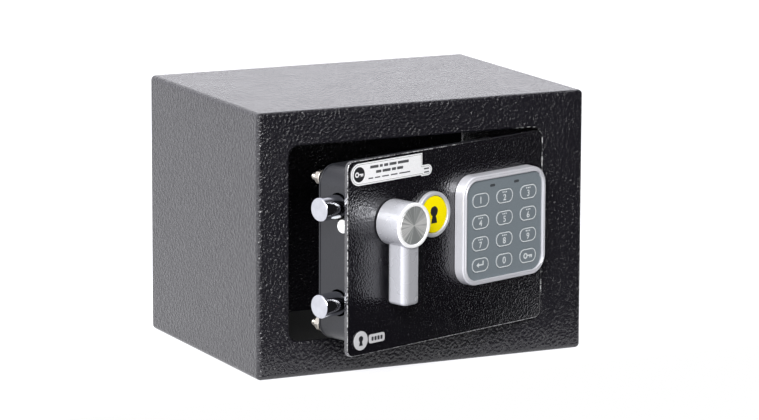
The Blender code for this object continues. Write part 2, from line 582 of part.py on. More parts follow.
def make_keypad_cable(door):
    """The cable goes from the board, through the plate and along behind it to the solenoid."""
    hole = Vector((CABLE_HOLE_X, 0.0, CABLE_HOLE_Z))
    start = hole + Vector((0.0, GAP - BOARD_BACK, 0.0))
    turn = Vector((CABLE_HOLE_X - 8.0, 7.0, CABLE_HOLE_Z - 1.0))
    end = Vector((SOLENOID_X + 11.5, 8.0, 54.0))
    bends = [(start, start + Vector((0.0, 5.0, 0.0)), turn + Vector((6.0, 0.0, 0.0)), turn),
             (turn, turn - Vector((12.0, 0.0, 0.0)), end + Vector((12.0, 0.0, 0.0)), end)]
    points = []
    for bend, steps in zip(bends, (7, 12)):
        points += interpolate_bezier(*bend, steps)[1 if points else 0:]
    curve = bpy.data.curves.new("keypad_cable", "CURVE")
    curve.dimensions = "3D"
    curve.bevel_depth = CABLE_RADIUS * MM
    curve.bevel_resolution = 2
    curve.use_fill_caps = True
    spline = curve.splines.new("POLY")
    spline.points.add(len(points) - 1)
    for point, place_mm in zip(spline.points, points):
        point.co = (*(place_mm * MM), 1.0)
    source = bpy.data.objects.new("keypad_cable_route", curve)
    CUTTERS.objects.link(source)
    place("keypad_cable", mesh_from_curve(source), door, (0.0, 0.0, 0.0), "black_plastic")


# ---------------------------------------------------------------- batteries, reset, labels

def make_batteries(door):
    wall = TRAY_WALL
    tray = block("battery_tray", door, (TRAY_LEFT, TRAY_FRONT, TRAY_BOTTOM),
                 (TRAY_RIGHT, CASE_DEPTH, TRAY_TOP), "black_plastic")
    boolean(tray, block("cut_tray", door, (TRAY_LEFT + wall, TRAY_FRONT + wall, TRAY_BOTTOM + wall),
                        (TRAY_RIGHT - wall, CASE_DEPTH + 3.0, TRAY_TOP - wall)))
    pitch = (TRAY_TOP - TRAY_BOTTOM - 2 * wall) / CELL_COUNT
    middle = (TRAY_LEFT + TRAY_RIGHT) / 2
    for i in range(CELL_COUNT):
        z = TRAY_BOTTOM + wall + pitch * (i + 0.5)
        way = 1.0 if i % 2 else -1.0
        half = CELL_LENGTH / 2
        turned(f"battery_{i + 1}", door, (middle, 20.3, z), (way, 0.0, 0.0),
               [(0.0, half + 1.3), (2.7, half + 1.3), (2.7, half), (CELL_RADIUS - 0.5, half),
                (CELL_RADIUS, half - 0.5), (CELL_RADIUS, -half + 0.5),
                (CELL_RADIUS - 0.5, -half), (0.0, -half)], "cell_jacket", sides=16)

    back = CASE_DEPTH + GAP
    lid_axis = empty("battery_lid_axis", door, (128.2, back, 64.5))
    lid = block("battery_lid", lid_axis, (-30.7, 0.0, -29.2), (30.7, COVER_T, 29.2),
                "black_plastic", corner=1.5)
    grip = block("join_lid_grip", lid_axis, (-9.0, COVER_T - 0.5, 21.0), (9.0, 3.0, 23.5))
    boolean(lid, grip, "UNION")

    reset_axis = empty("reset_axis", door, (RESET_X, back, RESET_Z))
    rod("reset_button", reset_axis, (0.0, -5.0, 0.0), (0.0, 3.2, 0.0), 3.4, "red_button")


def make_labels(door):
    low, high, tab = 107.0, 120.8, 113.0
    radius = (high - low) / 2
    left_end = arc((2.4 + radius, low + radius), radius, 90.0, 270.0, 14)
    right_end = [(64.5, low), (64.5, 106.0), (73.0, 106.0), (73.0, tab), (64.5, tab),
                 (64.5, high)]
    outline("notice_label", door, (0.0, -GAP - 0.15, 0.0), left_end + right_end, 0.3,
            "label_silver")
    rod("badge_disc", door, (11.1, -GAP, 9.4), (11.1, -GAP - 0.4, 9.4), 6.0, "silver_paint")
    block("badge_bar", door, (18.3, -GAP - 0.4, 6.4), (31.9, -GAP, 12.0), "silver_paint",
          corner=1.6)


clear_scene()
PARTS = new_collection("in_room_safe")
CUTTERS = new_collection("cutters")
make_cabinet()
DOOR = door_empties()
make_door_shell(DOOR)
make_bolts(DOOR)
make_solenoid(DOOR)
make_handle(DOOR)
make_lock(DOOR)
make_keypad(DOOR)
make_batteries(DOOR)
make_labels(DOOR)
bpy.context.view_layer.update()
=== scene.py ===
"""The looks of a compact in-room safe: fine shells, printed details, materials, light and camera.

Everything is in metres in the row frame: -Y is the front and +Z is up. The door stands ajar, so
door pieces are made in the door's own frame and set in place with DOOR: X runs from the plate's
free edge to the hinge side, Y from its front face inwards and Z up from its lower edge.
"""
import json
import math

import bmesh
import bpy
from mathutils import Matrix, Vector


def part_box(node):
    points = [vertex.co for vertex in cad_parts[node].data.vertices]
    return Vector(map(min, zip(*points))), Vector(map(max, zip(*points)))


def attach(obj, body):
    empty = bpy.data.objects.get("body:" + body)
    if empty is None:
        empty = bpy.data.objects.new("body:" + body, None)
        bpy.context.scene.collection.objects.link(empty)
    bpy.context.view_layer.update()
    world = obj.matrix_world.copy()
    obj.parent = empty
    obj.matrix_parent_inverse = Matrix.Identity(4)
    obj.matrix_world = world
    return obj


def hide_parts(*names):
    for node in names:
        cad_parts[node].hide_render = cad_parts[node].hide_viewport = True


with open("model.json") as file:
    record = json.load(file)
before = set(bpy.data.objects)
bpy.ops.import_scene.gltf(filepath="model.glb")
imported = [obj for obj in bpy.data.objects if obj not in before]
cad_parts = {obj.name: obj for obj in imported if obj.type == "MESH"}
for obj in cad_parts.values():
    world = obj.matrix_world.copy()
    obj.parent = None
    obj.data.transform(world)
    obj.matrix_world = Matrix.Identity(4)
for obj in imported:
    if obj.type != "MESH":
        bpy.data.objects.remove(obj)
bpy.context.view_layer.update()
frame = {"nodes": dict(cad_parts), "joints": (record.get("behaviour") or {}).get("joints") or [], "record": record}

MM = 0.001
NODES = frame["nodes"]
BODY_OF = {node: body for body, nodes in frame["record"]["behaviour"]["bodies"].items()
           for node in nodes}
SLOT_OF = {part["node"]: part["material_slot"] for part in frame["record"]["subparts"]}
KEYS = ("1", "2", "3", "4", "5", "6", "7", "8", "9", "enter", "0", "lock")


# ---------------------------------------------------------------- the door's frame

def local_box(node, matrix):
    """A CAD node's lowest and highest corners in a turned frame."""
    back = matrix.inverted()
    points = [back @ v.co for v in NODES[node].data.vertices]
    low = Vector(min(p[i] for p in points) for i in range(3))
    high = Vector(max(p[i] for p in points) for i in range(3))
    return low, high


def door_matrix():
    """From the door's own frame to the row frame: the hinge's place, and how far it is open."""
    hinge = next(j for j in frame["joints"] if j["name"] == "door_hinge")
    pivot = Vector(hinge["pos_m"])
    opened = Matrix.Rotation(-math.radians(hinge["range_deg"][0]), 4, "Z")
    turned = Matrix.Translation((pivot.x, pivot.y, 0.0)) @ opened
    low, _ = local_box("door_plate", turned)
    return turned @ Matrix.Translation(low)


DOOR = door_matrix()
ROW = Matrix.Identity(4)


def door_box(node):
    return local_box(node, DOOR)


# ---------------------------------------------------------------- mesh helpers

def new_object(name, data):
    obj = bpy.data.objects.new(name, data)
    bpy.context.scene.collection.objects.link(obj)
    return obj


def object_from(bm, name):
    """Makes an object of a bmesh, with its normals outwards, and frees the bmesh."""
    bmesh.ops.recalc_face_normals(bm, faces=bm.faces)
    mesh = bpy.data.meshes.new(name)
    bm.to_mesh(mesh)
    bm.free()
    return new_object(name, mesh)


def sweep(turn, steps):
    """Angles from nought to a turn."""
    return [turn * i / steps for i in range(steps + 1)]


def mm(*pairs):
    """Pairs of numbers given in millimetres."""
    return [(a * MM, b * MM) for a, b in pairs]


def middle_of(node):
    low, high = door_box(node)
    return (low + high) / 2


def rounded_rectangle(width, height, radius, steps=8):
    """Points of a rounded rectangle round the origin, in X and Z."""
    radius = max(min(radius, width / 2, height / 2) - 1e-6, 1e-5)
    points = []
    for side_x, side_z, start in ((1, 1, 0), (-1, 1, 90), (-1, -1, 180), (1, -1, 270)):
        centre_x = side_x * (width / 2 - radius)
        centre_z = side_z * (height / 2 - radius)
        for i in range(steps + 1):
            turn = math.radians(start + 90 * i / steps)
            points.append((centre_x + radius * math.cos(turn), centre_z + radius * math.sin(turn)))
    return points


def loft(name, rings, loop=False):
    """A closed skin over rings with the same number of points, with flat ends unless it loops."""
    bm = bmesh.new()
    made = [[bm.verts.new(p) for p in ring] for ring in rings]
    count = len(rings[0])
    pairs = list(zip(made, made[1:])) + ([(made[-1], made[0])] if loop else [])
    for low, high in pairs:
        for i in range(count):
            j = (i + 1) % count
            bm.faces.new((low[i], low[j], high[j], high[i]))
    if not loop:
        bm.faces.new(reversed(made[0]))
        bm.faces.new(made[-1])
    return object_from(bm, name)


def quarter(radius, steps, rising):
    """(inset, depth) pairs round a quarter turn, from a flat face to a side or back again."""
    pairs = [(radius * (1 - math.sin(t)), radius * (1 - math.cos(t)))
             for t in sweep(math.pi / 2, steps)]
    return pairs if rising else pairs[::-1]


def slab(name, box, corner, front=0.4 * MM, back=0.4 * MM, steps=8, edge_steps=3):
    """A flat piece with round corners in X-Z and rounded front and back edges."""
    low, high = box
    centre, size = (low + high) / 2, high - low
    profile = [(inset, size.y - depth) for inset, depth in quarter(back, edge_steps, True)]
    profile += quarter(front, edge_steps, False)
    return profiled(name, centre, size, low.y, corner, profile, steps)


def profiled(name, centre, size, start_y, corner, profile, steps=8, loop=False):
    """A rounded rectangle lofted along (inset, depth) pairs; depth is counted from start_y."""
    rings = []
    for inset, depth in profile:
        points = rounded_rectangle(size.x - 2 * inset, size.z - 2 * inset, corner - inset, steps)
        rings.append([(centre.x + x, start_y + depth, centre.z + z) for x, z in points])
    return loft(name, rings, loop)


def revolve(name, profile, steps=64, loop=False):
    """A profile of (radius, distance) turned about Z, with flat ends unless it loops."""
    rings = []
    for radius, along in profile:
        turns = [2 * math.pi * i / steps for i in range(steps)]
        rings.append([(radius * math.cos(t), radius * math.sin(t), along) for t in turns])
    return loft(name, rings, loop)


def facing(centre, axis, base=None):
    """A frame whose Z runs along an axis of the door's frame, at a point of it."""
    turn = Vector(axis).to_track_quat("Z", "Y").to_matrix().to_4x4()
    return (DOOR if base is None else base) @ Matrix.Translation(centre) @ turn


def ring_profile(inner, outer, low, high, edge):
    """The closed profile of a ring: up its bore, over its rounded top and down outside."""
    top = [(outer - edge + edge * math.sin(t), high - edge + edge * math.cos(t))
           for t in sweep(math.pi / 2, 4)]
    inner_top = [(inner + edge - edge * math.cos(t), high - edge + edge * math.sin(t))
                 for t in sweep(math.pi / 2, 4)]
    return [(inner, low)] + inner_top + top + [(outer, low)]


def settle(obj):
    """Keeps what an object's modifiers make of it as its own mesh."""
    bpy.context.view_layer.update()
    shaped = obj.evaluated_get(bpy.context.evaluated_depsgraph_get())
    mesh = bpy.data.meshes.new_from_object(shaped)
    obj.modifiers.clear()
    obj.data = mesh


def combine(obj, *tools, operation="DIFFERENCE"):
    """Cuts tools out of a piece, or joins them to it, and removes the tools."""
    for tool in tools:
        modifier = obj.modifiers.new("shape", "BOOLEAN")
        modifier.operation = operation
        modifier.solver = "EXACT"
        modifier.object = tool
    settle(obj)
    for tool in tools:
        bpy.data.objects.remove(tool, do_unlink=True)


def bar(start, end, radius):
    """A plain cylinder between two points, for cutting and joining."""
    start, end = Vector(start), Vector(end)
    obj = revolve("tool", [(radius, 0.0), (radius, (end - start).length)], 48)
    turn = (end - start).to_track_quat("Z", "Y").to_matrix().to_4x4()
    obj.matrix_world = Matrix.Translation(start) @ turn
    return obj


def brick(low, high, corner=0.0, steps=8):
    """A plain box, for cutting and joining."""
    low, high = Vector(low), Vector(high)
    return profiled("tool", (low + high) / 2, high - low, low.y, corner,
                    [(0.0, 0.0), (0.0, high.y - low.y)], steps)


def soften(obj, width=0.3 * MM, segments=2):
    """Rounds a CAD node's hard edges a little, without changing its mesh."""
    bevel = obj.modifiers.new("soft edges", "BEVEL")
    bevel.width = width
    bevel.segments = segments
    bevel.limit_method = "ANGLE"
    bevel.angle_limit = math.radians(40)
    bevel.harden_normals = True


def smooth(obj, angle=35.0):
    obj.data.shade_smooth()
    obj.data.set_sharp_from_angle(angle=math.radians(angle))
    weighted = obj.modifiers.new("flat faces stay flat", "WEIGHTED_NORMAL")
    weighted.keep_sharp = True
    weighted.weight = 80


def stand(obj, node, material, matrix=None, whole=True, angle=35.0):
    """Sets a piece in place, with its material, on the body of its node; whole ones replace it."""
    obj.matrix_world = DOOR if matrix is None else matrix
    obj.data.materials.clear()
    obj.data.materials.append(MATERIALS[material])
    smooth(obj, angle)
    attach(obj, BODY_OF[node])
    if whole:
        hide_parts(node)


def stand_print(name, shapes, y, thickness, node, material):
    """Flat printed shapes, set on a piece of the door."""
    stand(prism(name, shapes, y, thickness), node, material, whole=False)


# ---------------------------------------------------------------- node helpers

def node(tree, kind, inputs=None, **settings):
    """A shader node; an input is a value, or the socket that feeds it."""
    made = tree.nodes.new("ShaderNode" + kind)
    for key, value in settings.items():
        setattr(made, key, value)
    for key, value in (inputs or {}).items():
        if isinstance(value, bpy.types.NodeSocket):
            tree.links.new(value, made.inputs[key])
        else:
            made.inputs[key].default_value = value
    return made


def blank(name, colour, roughness, metallic=0.0, **values):
    """A material with a Principled shader, and its node tree."""
    mat = bpy.data.materials.new(name)
    mat.use_nodes = True
    tree = mat.node_tree
    shader = tree.nodes["Principled BSDF"]
    shader.inputs["Base Color"].default_value = (*colour, 1.0)
    shader.inputs["Roughness"].default_value = roughness
    shader.inputs["Metallic"].default_value = metallic
    for key, value in values.items():
        shader.inputs[key.replace("_", " ")].default_value = value
    return mat, tree, shader


def noise(tree, scale, detail=2.0, rough=0.5, distortion=0.0, stretch=(1.0, 1.0, 1.0)):
    """Noise in the piece's own coordinates, with scale in features per metre."""
    mapped = node(tree, "Mapping", {"Vector": place(tree), "Scale": stretch})
    made = node(tree, "TexNoise", {"Vector": mapped.outputs["Vector"], "Scale": scale,
                                   "Detail": detail, "Roughness": rough,
                                   "Distortion": distortion})
    return made.outputs["Fac"]


def spread(tree, value, low, high, start=0.3, end=0.7):
    """Maps a noise value to a range."""
    made = node(tree, "MapRange", {"Value": value, "From Min": start, "From Max": end,
                                   "To Min": low, "To Max": high})
    return made.outputs["Result"]


def shade(colour, share):
    return tuple(min(c * share, 1.0) for c in colour)


def tint(tree, value, dark, light, start=0.35, end=0.65):
    """A colour between two, by a noise value."""
    ramp = node(tree, "ValToRGB", {"Fac": value})
    ramp.color_ramp.elements[0].position = start
    ramp.color_ramp.elements[0].color = (*dark, 1.0)
    ramp.color_ramp.elements[1].position = end
    ramp.color_ramp.elements[1].color = (*light, 1.0)
    return ramp.outputs["Color"]


def bump(tree, shader, height, distance):
    made = node(tree, "Bump", {"Height": height, "Distance": distance, "Strength": 1.0})
    feed(tree, made.outputs["Normal"], shader, "Normal")


def feed(tree, socket, shader, name):
    tree.links.new(socket, shader.inputs[name])


def place(tree):
    """The point being shaded, in the piece's own coordinates."""
    return node(tree, "TexCoord").outputs["Object"]


def parts_of(tree, vector):
    return node(tree, "SeparateXYZ", {"Vector": vector}).outputs


def math_of(tree, operation, *values):
    made = node(tree, "Math", dict(enumerate(values)), operation=operation)
    return made.outputs["Value"]


# ---------------------------------------------------------------- materials

def powder_coat(name, colour, roughness, grain, depth, ior=1.6):
    """Textured powder coat: a wrinkled, leathery skin with pebbles about a grain across."""
    mat, tree, shader = blank(name, colour, roughness, IOR=ior)
    here = place(tree)
    warp = node(tree, "TexNoise", {"Vector": here, "Scale": 0.5 / grain, "Detail": 2.0})
    bent = node(tree, "VectorMath", {0: warp.outputs["Color"], 1: (grain, grain, grain)},
                operation="MULTIPLY")
    moved = node(tree, "VectorMath", {0: here, 1: bent.outputs["Vector"]}, operation="ADD")
    pebbles = node(tree, "TexVoronoi", {"Vector": moved.outputs["Vector"],
                                        "Scale": 1.0 / grain, "Smoothness": 0.5},
                   feature="SMOOTH_F1")
    wrinkles = noise(tree, 1.6 / grain, 2.0, 0.5, 0.8)
    height = math_of(tree, "MULTIPLY_ADD", wrinkles, 0.7, pebbles.outputs["Distance"])
    bump(tree, shader, height, depth)
    feed(tree, spread(tree, noise(tree, 45.0, 3.0), roughness - 0.01, roughness + 0.02),
         shader, "Roughness")
    feed(tree, tint(tree, wrinkles, colour, shade(colour, 1.3)), shader, "Base Color")
    return mat


def painted_edge_highlight(name, bright, fade_start, start, end):
    """A painted highlight: bright metallic dashes along a rounded edge stand in for glints of light; they fade out
    as X + Z grows.
    """
    mat, tree, shader = blank(name, (0.5, 0.5, 0.52), 0.4, 0.6)
    parts = parts_of(tree, place(tree))
    reach = math_of(tree, "ADD", parts["X"], parts["Z"])
    fade = spread(tree, reach, 1.0, 0.55, fade_start, fade_start + 70.0 * MM)
    # Painted highlight: the bright dashes are glints painted into the base colour.
    glint_dashes = math_of(tree, "MULTIPLY", noise(tree, 420.0, 3.0, 0.65), fade)
    feed(tree, tint(tree, glint_dashes, (0.02, 0.02, 0.022), (bright,) * 3, start, end),
         shader, "Base Color")
    bump(tree, shader, glint_dashes, 0.05 * MM)
    return mat


def silver_paint(name, colour, roughness):
    """Satin metallic paint, with fine flakes and a faint orange peel."""
    mat, tree, shader = blank(name, colour, roughness, 0.4, Coat_Weight=0.15,
                              Coat_Roughness=0.15)
    flakes = noise(tree, 6500.0, 1.0)
    feed(tree, tint(tree, flakes, shade(colour, 0.93), shade(colour, 1.05)), shader,
         "Base Color")
    feed(tree, spread(tree, noise(tree, 60.0), roughness - 0.03, roughness + 0.04), shader,
         "Roughness")
    bump(tree, shader, noise(tree, 900.0, 2.0), 0.01 * MM)
    return mat


def knob_paint(name, rim_start):
    """Satin silver, with its front rim turned bright from a given distance outwards."""
    mat, tree, shader = blank(name, (0.54, 0.545, 0.575), 0.30)
    rim = spread(tree, parts_of(tree, place(tree))["Y"], 0.0, 1.0, rim_start,
                 rim_start - 0.5 * MM)
    body = tint(tree, noise(tree, 6500.0, 1.0), (0.50, 0.505, 0.535), (0.56, 0.565, 0.595))
    colour = node(tree, "MixRGB", {0: rim, 1: body, 2: (0.98, 0.98, 0.98, 1.0)})
    feed(tree, colour.outputs[0], shader, "Base Color")
    feed(tree, spread(tree, rim, 0.4, 0.15, 0.0, 1.0), shader, "Metallic")
    feed(tree, spread(tree, noise(tree, 60.0), 0.25, 0.31), shader, "Roughness")
    bump(tree, shader, noise(tree, 900.0, 2.0), 0.01 * MM)
    return mat


def metal(name, colour, roughness, scratches=0.004 * MM, blotch=0.06):
    """Bare or plated metal, with drawn scratches and uneven gloss."""
    mat, tree, shader = blank(name, colour, roughness, 1.0)
    bump(tree, shader, noise(tree, 1500.0, 2.0, stretch=(1.0, 1.0, 12.0)), scratches)
    cloud = noise(tree, 160.0, 3.0)
    feed(tree, spread(tree, cloud, roughness, roughness + blotch), shader, "Roughness")
    feed(tree, tint(tree, cloud, shade(colour, 0.90), colour), shader, "Base Color")
    return mat


def spun_metal(name):
    """A lathe-faced disc whose colour carries a painted reflection: a two-lobed sweep and fine streaks of light
    about its centre.
    """
    mat, tree, shader = blank(name, (0.6, 0.61, 0.60), 0.32, 0.55, Anisotropic=0.8)
    tangent = node(tree, "Tangent", direction_type="RADIAL", axis="Z")
    feed(tree, tangent.outputs["Tangent"], shader, "Tangent")
    here = place(tree)
    parts = parts_of(tree, here)
    turn = math_of(tree, "ARCTAN2", parts["Y"], parts["X"])
    # Painted reflection: brightness by angle round the centre, put into the base colour.
    broad = math_of(tree, "COSINE", math_of(tree, "MULTIPLY", turn, 2.0))
    fine = node(tree, "TexNoise", {"W": turn, "Scale": 5.0, "Detail": 3.0, "Roughness": 0.6},
                noise_dimensions="1D")
    rays = math_of(tree, "MULTIPLY_ADD", broad, 0.22, fine.outputs["Fac"])
    feed(tree, tint(tree, rays, (0.36, 0.375, 0.37), (0.92, 0.92, 0.90), 0.34, 0.72),
         shader, "Base Color")
    radius = node(tree, "VectorMath", {0: here}, operation="LENGTH")
    rings = node(tree, "TexNoise", {"W": radius.outputs["Value"], "Scale": 5200.0,
                                    "Detail": 2.0}, noise_dimensions="1D")
    bump(tree, shader, rings.outputs["Fac"], 0.006 * MM)
    return mat


def plastic(name, colour, roughness, texture=0.02 * MM, **values):
    """Moulded plastic with a fine spark-eroded texture."""
    mat, tree, shader = blank(name, colour, roughness, 0.0, **values)
    grain = noise(tree, 2600.0, 2.0)
    bump(tree, shader, grain, texture)
    feed(tree, tint(tree, grain, shade(colour, 0.92), shade(colour, 1.06)), shader,
         "Base Color")
    feed(tree, spread(tree, noise(tree, 90.0), roughness - 0.03, roughness + 0.05), shader,
         "Roughness")
    return mat


def felt(name, colour):
    mat, tree, shader = blank(name, colour, 0.95, 0.0, Sheen_Weight=0.02, Sheen_Roughness=0.6)
    fibres = noise(tree, 1800.0, 4.0, 0.7, 1.5)
    bump(tree, shader, fibres, 0.25 * MM)
    feed(tree, tint(tree, fibres, shade(colour, 0.6), colour), shader, "Base Color")
    return mat


def winding(name, colour):
    """Enamelled wire wound round the piece's own Z."""
    mat, tree, shader = blank(name, colour, 0.3, 0.8)
    wave = node(tree, "TexWave", {"Vector": place(tree), "Scale": 700.0, "Distortion": 0.3},
                bands_direction="Z")
    turns = wave.outputs["Fac"]
    bump(tree, shader, turns, 0.1 * MM)
    # Painted shade: the colour darkens to half in the grooves between the turns.
    feed(tree, tint(tree, turns, shade(colour, 0.5), colour), shader, "Base Color")
    return mat


def cell_jacket(name):
    """A printed cell: a dark sleeve with a copper-coloured shoulder."""
    sleeve, copper = (0.02, 0.02, 0.025), (0.62, 0.33, 0.12)
    mat, tree, shader = blank(name, sleeve, 0.3, 0.3)
    along = parts_of(tree, node(tree, "TexCoord").outputs["Generated"])["X"]
    shoulder = math_of(tree, "GREATER_THAN", along, 0.72)
    feed(tree, tint(tree, shoulder, sleeve, copper), shader, "Base Color")
    bump(tree, shader, noise(tree, 400.0), 0.01 * MM)
    return mat


def make_materials():
    return {
        "powder_coat": powder_coat("cabinet_powder_coat", (0.0065, 0.0060, 0.0082), 0.23,
                                   1.9 * MM, 0.50 * MM),
        "door_coat": powder_coat("door_powder_coat", (0.0034, 0.0030, 0.0046), 0.15,
                                 1.4 * MM, 0.21 * MM, 2.05),
        "case_paint": powder_coat("case_paint", (0.0060, 0.0066, 0.0090), 0.30,
                                  1.2 * MM, 0.07 * MM, 1.5),
        # Painted highlights: bright dashes along the door plate's edge and along the opening's rolled edge.
        "painted_edge_highlight": painted_edge_highlight("painted_edge_highlight", 0.60, 190.0 * MM, 0.40, 0.58),
        "bright_painted_highlight": painted_edge_highlight("bright_painted_highlight", 0.85, 1000.0 * MM, 0.50, 0.60),
        "silver_paint": silver_paint("satin_silver_paint", (0.68, 0.685, 0.71), 0.34),
        "bezel_paint": silver_paint("keypad_silver_paint", (0.74, 0.74, 0.78), 0.32),
        "knob_paint": knob_paint("knob_silver_paint", -19.1 * MM),
        "spun": spun_metal("spun_aluminium"),
        "chrome": metal("polished_chrome", (0.55, 0.56, 0.60), 0.06, 0.001 * MM, blotch=0.03),
        "zinc": metal("zinc_plate", (0.66, 0.62, 0.55), 0.28),
        "steel": metal("plain_steel", (0.46, 0.46, 0.47), 0.34),
        "brass": metal("machined_brass", (0.72, 0.50, 0.20), 0.25),
        "panel_plastic": plastic("keypad_panel_grey", (0.165, 0.193, 0.212), 0.42),
        "key_plastic": plastic("key_grey", (0.155, 0.181, 0.199), 0.40),
        "print": plastic("pale_print", (0.60, 0.63, 0.64), 0.45, 0.005 * MM),
        "dark_print": plastic("dark_print", (0.015, 0.015, 0.018), 0.40, 0.005 * MM),
        "grey_print": plastic("grey_print", (0.07, 0.07, 0.075), 0.45, 0.005 * MM),
        "led": plastic("led_window", (0.060, 0.066, 0.072), 0.25, 0.002 * MM),
        "yellow": plastic("gloss_yellow", (1.0, 0.80, 0.0), 0.22, 0.003 * MM,
                          Coat_Weight=0.5, Coat_Roughness=0.05),
        "label": plastic("label_foil", (0.80, 0.80, 0.81), 0.38, 0.01 * MM),
        "badge": plastic("badge_silver", (0.52, 0.52, 0.53), 0.35, 0.01 * MM),
        "white_nylon": plastic("white_nylon", (0.80, 0.80, 0.78), 0.38,
                               Subsurface_Weight=0.05),
        "black_plastic": plastic("black_plastic", (0.018, 0.018, 0.019), 0.45),
        "red_plastic": plastic("red_plastic", (0.50, 0.02, 0.02), 0.35),
        "board": plastic("circuit_board", (0.015, 0.12, 0.05), 0.4),
        "coil": winding("enamelled_winding", (0.70, 0.28, 0.10)),
        "cell": cell_jacket("cell_jacket"),
        "felt": felt("black_felt", (0.006, 0.006, 0.007)),
    }


MATERIALS = make_materials()
# Slots whose material goes by another name; every other slot has its own material's name.
OTHER_NAMES = {"cell_jacket": "cell", "mat_felt": "felt", "spun_aluminium": "spun",
               "yellow_plastic": "yellow", "label_foil": "label"}


def dress_cad_nodes():
    """Gives every CAD node the material of its slot."""
    for name, obj in NODES.items():
        slot = SLOT_OF[name]
        obj.data.materials.clear()
        obj.data.materials.append(MATERIALS[OTHER_NAMES.get(slot, slot)])
        obj.data.shade_smooth()
        obj.data.set_sharp_from_angle(angle=math.radians(35))


# ---------------------------------------------------------------- cabinet

# The front opening, in millimetres
OPENING_LEFT, OPENING_RIGHT, OPENING_LOW, OPENING_TOP = -93.2, 84.6, 22.9, 147.9
OPENING_CORNER, OPENING_ROLL = 7.0, 1.3


def opening_cutter(front):
    """The front opening, flared where its edge is rolled."""
    rim, depth = OPENING_ROLL * MM, 8.0 * MM
    low = Vector((OPENING_LEFT * MM, front, OPENING_LOW * MM))
    high = Vector((OPENING_RIGHT * MM, front + depth, OPENING_TOP * MM))
    flare = [(-rim * (1 - math.sin(t)), rim * (1 - math.cos(t)))
             for t in sweep(math.pi / 2, 5)]
    profile = [(-rim, -4.0 * MM)] + flare + [(0.0, depth)]
    return profiled("tool", (low + high) / 2, high - low, front, OPENING_CORNER * MM, profile, 12)


def make_opening_highlight(front):
    """A painted highlight in bright dashes along the opening's rolled edge on the hinge side, round its upper
    corner.
    """
    turn_x, turn_z = OPENING_RIGHT - OPENING_CORNER, OPENING_TOP - OPENING_CORNER
    path = [(OPENING_RIGHT, 40.0 + 4.0 * i) for i in range(26)]
    path += [(turn_x + OPENING_CORNER * math.cos(t), turn_z + OPENING_CORNER * math.sin(t))
             for t in sweep(math.pi / 2, 8)]
    path += [(72.0 - 4.0 * i, OPENING_TOP) for i in range(3)]
    corners = mm((0.84, 0.03), (0.53, 0.19), (0.27, 0.43), (0.08, 0.73), (0.3, 0.84),
                 (0.92, 0.27))
    rings = []
    for i, (x, z) in enumerate(path):
        before, after = path[max(i - 1, 0)], path[min(i + 1, len(path) - 1)]
        along = Vector((after[0] - before[0], 0.0, after[1] - before[1])).normalized()
        outward = Vector((along.z, 0.0, -along.x))
        inner = Vector((x, 0.0, z)) * MM
        rings.append([inner + outward * a + Vector((0.0, front + b, 0.0))
                      for a, b in corners])
    edge = loft("opening_painted_highlight", rings)
    stand(edge, "cabinet_shell", "bright_painted_highlight", ROW, whole=False)


def make_cabinet():
    low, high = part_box("cabinet_shell")
    sheet, edge = 2.0 * MM, 3.0 * MM
    size, centre = high - low, (low + high) / 2
    rear = 12.0 * MM
    front_arc = quarter(edge, 6, False)[::-1]
    rings = []
    for inset, depth in front_arc + [(0.0, size.y + rear)]:
        points = rounded_rectangle(size.x - 2 * inset, size.z - 2 * inset,
                                   max(edge - inset, 0.02 * MM), 6)
        rings.append([(centre.x + x, low.y + depth, centre.z + z) for x, z in points])
    shell = loft("cabinet_skin", rings)
    room = brick((low.x + sheet, low.y + sheet, low.z + sheet),
                 (high.x - sheet, high.y + 20.0 * MM, high.z - sheet), 1.2 * MM, 4)
    trim = brick((low.x - edge, high.y, low.z - edge),
                 (high.x + edge, high.y + 15.0 * MM, high.z + edge))
    holes = [bar((x, 0.0, -2.0 * MM), (x, 0.0, 6.0 * MM), 5.0 * MM)
             for x in (-60.0 * MM, 60.0 * MM)]
    combine(shell, room, trim, opening_cutter(low.y), *holes)
    stand(shell, "cabinet_shell", "powder_coat", ROW)
    make_opening_highlight(low.y)
    for name in ("back_panel", "hinge_bracket_lower", "hinge_bracket_upper", "floor_mat"):
        soften(NODES[name])


# ---------------------------------------------------------------- door shell

def make_door_plate():
    box = door_box("door_plate")
    plate = slab("door_plate_skin", box, 5.0 * MM, 0.7 * MM, 0.5 * MM, 10, 4)
    cable = Vector((110.0, 0.0, 60.0)) * MM
    holes = ((middle_of("spindle_bush"), 6.3 * MM), (middle_of("lock_housing"), 8.4 * MM),
             (cable, 5.0 * MM))
    combine(plate, *[bar((at.x, -4.0 * MM, at.z), (at.x, 8.0 * MM, at.z), radius)
                     for at, radius in holes])
    stand(plate, "door_plate", "door_coat")
    low, high = box
    size, centre = high - low, (low + high) / 2
    # A thin ring round the plate's edge carries a painted highlight in bright dashes.
    line = mm((0.02, 0.62), (0.10, 0.30), (0.30, 0.10), (0.50, 0.03), (0.50, 0.30),
              (0.30, 0.62))
    edge = profiled("door_plate_painted_highlight", centre, size, low.y, 5.0 * MM, line, 10, loop=True)
    stand(edge, "door_plate", "painted_edge_highlight", whole=False)


